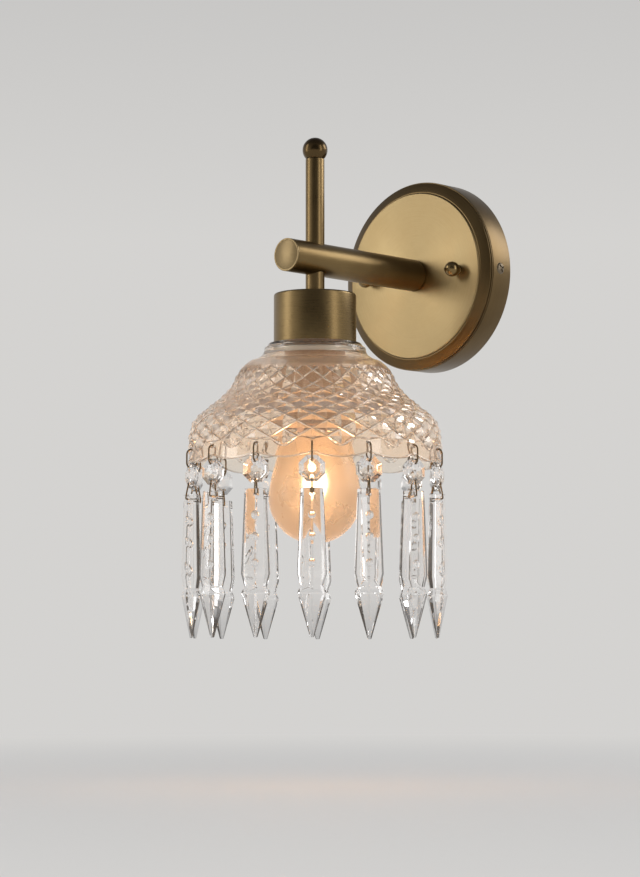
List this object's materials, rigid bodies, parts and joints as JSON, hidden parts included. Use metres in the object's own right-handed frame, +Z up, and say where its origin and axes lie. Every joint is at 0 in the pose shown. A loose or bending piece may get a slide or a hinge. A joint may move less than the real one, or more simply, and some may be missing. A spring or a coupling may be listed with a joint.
{
  "type": "crystal wall sconce",
  "caption": "Wall sconce: round brass canopy, straight arm, stem and cup carrying a downward bulb inside a diamond-cut glass shade with a fringe of hanging crystal prisms.",
  "frame": {"origin": "centre of the canopy's back, on the wall", "axes": "-Y straight out from the wall, +Z up, +X to the right for someone who faces the wall"},
  "size_m": [0.1605, 0.1937, 0.3043],
  "materials": {
    "satin_brass": "satin, brushed and lacquered",
    "polished_brass": "polished",
    "aged_brass": "polished and darkened",
    "plated_steel": "zinc plated",
    "screw_steel": "plated, worn",
    "lampholder_ceramic": "glazed",
    "cut_glass": "clear, polished",
    "crystal": "clear, polished",
    "frosted_bulb": "frosted",
    "lead_insulation": "satin",
    "hook_wire": "drawn wire, darkened"
  },
  "bodies": {
    "fixture": {"wall_bracket": "plated_steel", "bracket_studs": "plated_steel", "canopy_band": "satin_brass", "face_plate": "satin_brass", "ball_nuts": "polished_brass", "side_screws": "screw_steel", "arm_tube": "satin_brass", "arm_end_cap": "satin_brass", "lock_nuts": "plated_steel", "stem_tube": "satin_brass", "finial_ball": "aged_brass", "socket_cup": "satin_brass", "lampholder": "lampholder_ceramic", "shade_ring": "plated_steel", "glass_shade": "cut_glass", "bulb": "frosted_bulb", "lead_wires": "lead_insulation", "rim_hooks": "hook_wire"},
    "bead_01": {"bead_01": "crystal"},
    "prism_01": {"link_01": "hook_wire", "prism_01": "crystal"},
    "bead_02": {"bead_02": "crystal"},
    "prism_02": {"link_02": "hook_wire", "prism_02": "crystal"},
    "bead_03": {"bead_03": "crystal"},
    "prism_03": {"link_03": "hook_wire", "prism_03": "crystal"},
    "bead_04": {"bead_04": "crystal"},
    "prism_04": {"link_04": "hook_wire", "prism_04": "crystal"},
    "bead_05": {"bead_05": "crystal"},
    "prism_05": {"link_05": "hook_wire", "prism_05": "crystal"},
    "bead_06": {"bead_06": "crystal"},
    "prism_06": {"link_06": "hook_wire", "prism_06": "crystal"},
    "bead_07": {"bead_07": "crystal"},
    "prism_07": {"link_07": "hook_wire", "prism_07": "crystal"},
    "bead_08": {"bead_08": "crystal"},
    "prism_08": {"link_08": "hook_wire", "prism_08": "crystal"},
    "bead_09": {"bead_09": "crystal"},
    "prism_09": {"link_09": "hook_wire", "prism_09": "crystal"},
    "bead_10": {"bead_10": "crystal"},
    "prism_10": {"link_10": "hook_wire", "prism_10": "crystal"},
    "bead_11": {"bead_11": "crystal"},
    "prism_11": {"link_11": "hook_wire", "prism_11": "crystal"},
    "bead_12": {"bead_12": "crystal"},
    "prism_12": {"link_12": "hook_wire", "prism_12": "crystal"},
    "bead_13": {"bead_13": "crystal"},
    "prism_13": {"link_13": "hook_wire", "prism_13": "crystal"},
    "bead_14": {"bead_14": "crystal"},
    "prism_14": {"link_14": "hook_wire", "prism_14": "crystal"}
  },
  "joints": [
    {"name": "drop_01_swing", "type": "hinge", "parent": "fixture", "child": "bead_01", "pos_m": [0.02026, -0.18737, -0.12537], "axis": [-0.963, -0.2696, 0], "range_deg": [-15, 30]},
    {"name": "drop_01_sway", "type": "hinge", "parent": "bead_01", "child": "prism_01", "pos_m": [0.02026, -0.18737, -0.13817], "axis": [0.5827, -0.8127, 0], "range_deg": [-8, 8]},
    {"name": "drop_02_swing", "type": "hinge", "parent": "fixture", "child": "bead_02", "pos_m": [0.04965, -0.17141, -0.12537], "axis": [-0.7506, -0.6607, 0], "range_deg": [-15, 30]},
    {"name": "drop_02_sway", "type": "hinge", "parent": "bead_02", "child": "prism_02", "pos_m": [0.04965, -0.17141, -0.13817], "axis": [0.6607, -0.7506, 0], "range_deg": [-8, 8]},
    {"name": "drop_03_swing", "type": "hinge", "parent": "fixture", "child": "bead_03", "pos_m": [0.06921, -0.14428, -0.12537], "axis": [-0.3896, -0.921, 0], "range_deg": [-15, 30]},
    {"name": "drop_03_sway", "type": "hinge", "parent": "bead_03", "child": "prism_03", "pos_m": [0.06921, -0.14428, -0.13817], "axis": [0.7555, -0.6552, 0], "range_deg": [-8, 8]},
    {"name": "drop_04_swing", "type": "hinge", "parent": "fixture", "child": "bead_04", "pos_m": [0.07506, -0.11135, -0.12537], "axis": [0.0486, -0.9988, 0], "range_deg": [-15, 30]},
    {"name": "drop_04_sway", "type": "hinge", "parent": "bead_04", "child": "prism_04", "pos_m": [0.07506, -0.11135, -0.13817], "axis": [0.8893, -0.4574, 0], "range_deg": [-8, 8]},
    {"name": "drop_05_swing", "type": "hinge", "parent": "fixture", "child": "bead_05", "pos_m": [0.06605, -0.07914, -0.12537], "axis": [0.4771, -0.8788, 0], "range_deg": [-15, 30]},
    {"name": "drop_05_sway", "type": "hinge", "parent": "bead_05", "child": "prism_05", "pos_m": [0.06605, -0.07914, -0.13817], "axis": [0.9997, -0.0262, 0], "range_deg": [-8, 8]},
    {"name": "drop_06_swing", "type": "hinge", "parent": "fixture", "child": "bead_06", "pos_m": [0.04395, -0.05404, -0.12537], "axis": [0.8112, -0.5848, 0], "range_deg": [-15, 30]},
    {"name": "drop_06_sway", "type": "hinge", "parent": "bead_06", "child": "prism_06", "pos_m": [0.04395, -0.05404, -0.13817], "axis": [0.1872, 0.9823, 0], "range_deg": [-8, 8]},
    {"name": "drop_07_swing", "type": "hinge", "parent": "fixture", "child": "bead_07", "pos_m": [0.01315, -0.04101, -0.12537], "axis": [0.9846, -0.1749, 0], "range_deg": [-15, 30]},
    {"name": "drop_07_sway", "type": "hinge", "parent": "bead_07", "child": "prism_07", "pos_m": [0.01315, -0.04101, -0.13817], "axis": [-0.3078, 0.9515, 0], "range_deg": [-8, 8]},
    {"name": "drop_08_swing", "type": "hinge", "parent": "fixture", "child": "bead_08", "pos_m": [-0.02026, -0.04263, -0.12537], "axis": [0.963, 0.2696, 0], "range_deg": [-15, 30]},
    {"name": "drop_08_sway", "type": "hinge", "parent": "bead_08", "child": "prism_08", "pos_m": [-0.02026, -0.04263, -0.13817], "axis": [-0.5096, 0.8604, 0], "range_deg": [-8, 8]},
    {"name": "drop_09_swing", "type": "hinge", "parent": "fixture", "child": "bead_09", "pos_m": [-0.04965, -0.05859, -0.12537], "axis": [0.7506, 0.6607, 0], "range_deg": [-15, 30]},
    {"name": "drop_09_sway", "type": "hinge", "parent": "bead_09", "child": "prism_09", "pos_m": [-0.04965, -0.05859, -0.13817], "axis": [-0.6607, 0.7506, 0], "range_deg": [-8, 8]},
    {"name": "drop_10_swing", "type": "hinge", "parent": "fixture", "child": "bead_10", "pos_m": [-0.06921, -0.08572, -0.12537], "axis": [0.3896, 0.921, 0], "range_deg": [-15, 30]},
    {"name": "drop_10_sway", "type": "hinge", "parent": "bead_10", "child": "prism_10", "pos_m": [-0.06921, -0.08572, -0.13817], "axis": [-0.7887, 0.6147, 0], "range_deg": [-8, 8]},
    {"name": "drop_11_swing", "type": "hinge", "parent": "fixture", "child": "bead_11", "pos_m": [-0.07506, -0.11865, -0.12537], "axis": [-0.0486, 0.9988, 0], "range_deg": [-15, 30]},
    {"name": "drop_11_sway", "type": "hinge", "parent": "bead_11", "child": "prism_11", "pos_m": [-0.07506, -0.11865, -0.13817], "axis": [-0.9047, 0.426, 0], "range_deg": [-8, 8]},
    {"name": "drop_12_swing", "type": "hinge", "parent": "fixture", "child": "bead_12", "pos_m": [-0.06605, -0.15085, -0.12537], "axis": [-0.4771, 0.8788, 0], "range_deg": [-15, 30]},
    {"name": "drop_12_sway", "type": "hinge", "parent": "bead_12", "child": "prism_12", "pos_m": [-0.06605, -0.15085, -0.13817], "axis": [-1, -0.0087, 0], "range_deg": [-8, 8]},
    {"name": "drop_13_swing", "type": "hinge", "parent": "fixture", "child": "bead_13", "pos_m": [-0.04395, -0.17596, -0.12537], "axis": [-0.8112, 0.5848, 0], "range_deg": [-15, 30]},
    {"name": "drop_13_sway", "type": "hinge", "parent": "bead_13", "child": "prism_13", "pos_m": [-0.04395, -0.17596, -0.13817], "axis": [-0.1009, -0.9949, 0], "range_deg": [-8, 8]},
    {"name": "drop_14_swing", "type": "hinge", "parent": "fixture", "child": "bead_14", "pos_m": [-0.01315, -0.18899, -0.12537], "axis": [-0.9846, 0.1749, 0], "range_deg": [-15, 30]},
    {"name": "drop_14_sway", "type": "hinge", "parent": "bead_14", "child": "prism_14", "pos_m": [-0.01315, -0.18899, -0.13817], "axis": [0.3408, -0.9401, 0], "range_deg": [-8, 8]}
  ]
}
